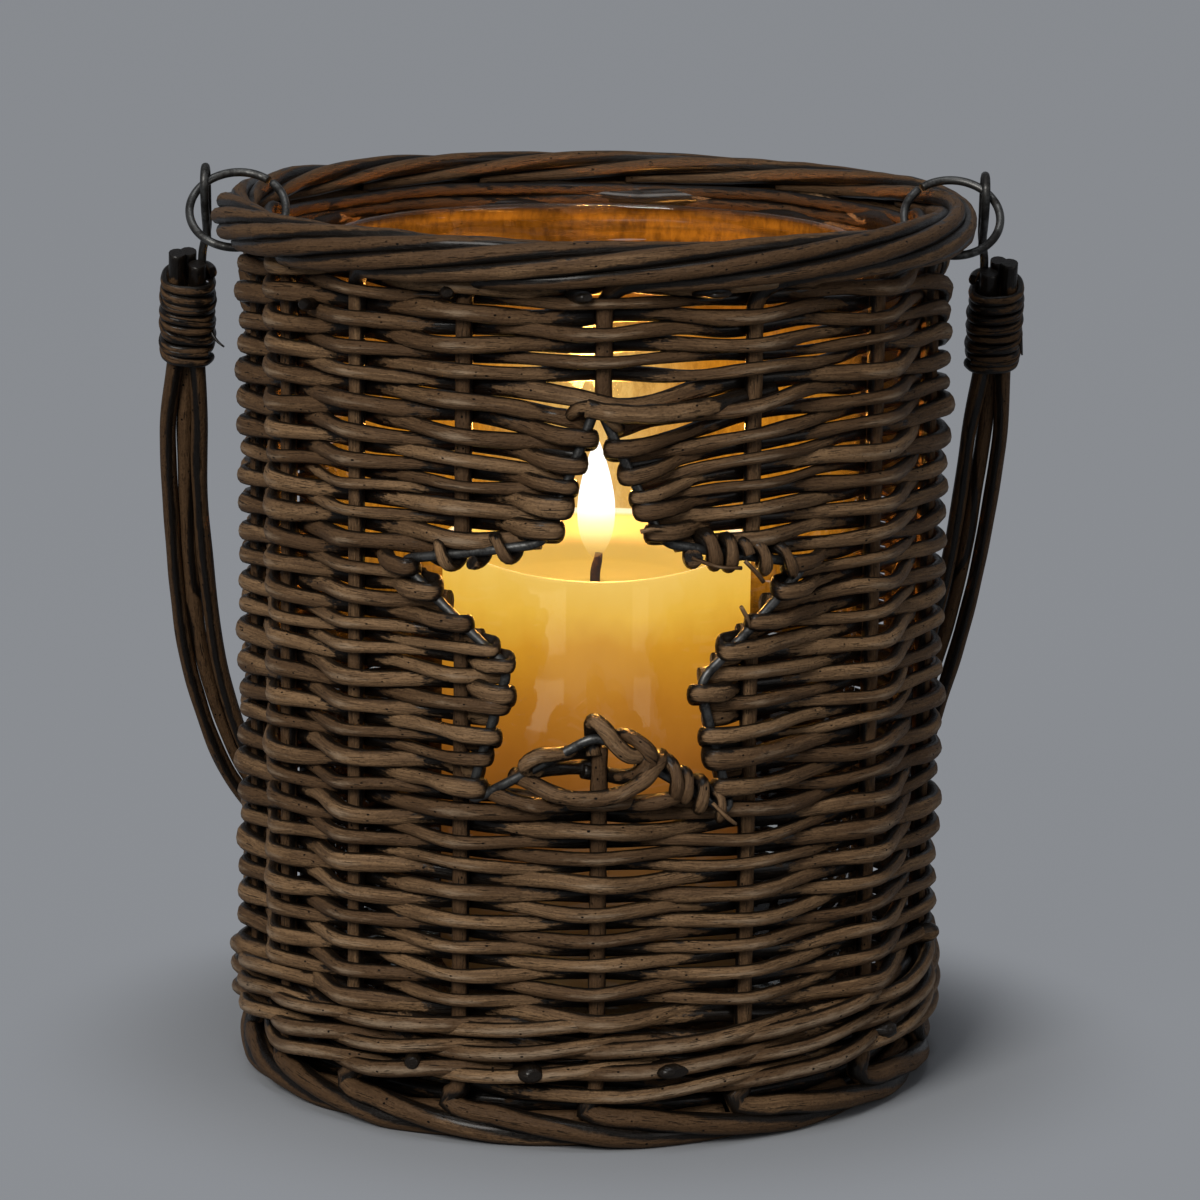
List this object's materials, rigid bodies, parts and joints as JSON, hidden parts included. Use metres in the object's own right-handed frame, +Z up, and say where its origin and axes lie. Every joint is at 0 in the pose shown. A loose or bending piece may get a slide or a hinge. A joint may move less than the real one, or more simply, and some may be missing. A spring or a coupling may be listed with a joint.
{
  "type": "wicker lantern",
  "caption": "Round woven willow lantern with a star-shaped opening at the front, a glass liner holding a pillar candle, and a hinged rod handle hung on wire rings.",
  "frame": {"origin": "on the axis of the basket at floor level, in the middle of its footprint", "axes": "+Z up, -Y towards the star at the front, +X to the right seen from the front"},
  "size_m": [0.2285, 0.2001, 0.2326],
  "materials": {
    "stained_willow": "dark stained, satin",
    "steel_wire": "dulled grey wire",
    "clear_glass": "clear",
    "candle_wax": "ivory wax",
    "wick_cotton": "charred cotton"
  },
  "bodies": {
    "basket": {"stake_01_lower": "stained_willow", "stake_01_upper": "stained_willow", "stake_02_lower": "stained_willow", "stake_02_upper": "stained_willow", "stake_03": "stained_willow", "stake_04": "stained_willow", "stake_05": "stained_willow", "stake_06": "stained_willow", "stake_07": "stained_willow", "stake_08": "stained_willow", "stake_09": "stained_willow", "stake_10": "stained_willow", "stake_11": "stained_willow", "stake_12": "stained_willow", "stake_13": "stained_willow", "stake_14": "stained_willow", "stake_15_lower": "stained_willow", "stake_15_upper": "stained_willow", "star_wire": "steel_wire", "siding_weave": "stained_willow", "upsett_wale": "stained_willow", "base_disc": "stained_willow"},
    "left_ring": {"ring_left": "steel_wire"},
    "right_ring": {"ring_right": "steel_wire"},
    "handle": {"handle_rod_outer": "stained_willow", "handle_rod_inner": "stained_willow", "handle_rod_back": "stained_willow", "binding_left": "stained_willow", "binding_right": "stained_willow", "eye_left": "steel_wire", "eye_right": "steel_wire"},
    "liner": {"glass_liner": "clear_glass"},
    "pillar": {"candle": "candle_wax", "wick": "wick_cotton"}
  },
  "joints": [
    {"name": "left_ring_lean", "type": "hinge", "parent": "basket", "child": "left_ring", "pos_m": [-0.092, -0.001, 0.2126], "axis": [1, 0, 0], "range_deg": [0, 92]},
    {"name": "right_ring_lean", "type": "hinge", "parent": "basket", "child": "right_ring", "pos_m": [0.092, -0.001, 0.2126], "axis": [1, 0, 0], "range_deg": [0, 92]},
    {"name": "handle_swing", "type": "hinge", "parent": "left_ring", "child": "handle", "pos_m": [-0.10077, 0.01423, 0.2273], "axis": [1, 0, 0], "range_deg": [0, 210]},
    {"name": "glass_lift", "type": "slide", "parent": "basket", "child": "liner", "axis": [0, 0, 1], "range_m": [0, 0.21]},
    {"name": "candle_lift", "type": "slide", "parent": "liner", "child": "pillar", "axis": [0, 0, 1], "range_m": [0, 0.2]}
  ],
  "couplings": [
    {"joint": "right_ring_lean", "follows": "left_ring_lean", "ratio": 1}
  ]
}
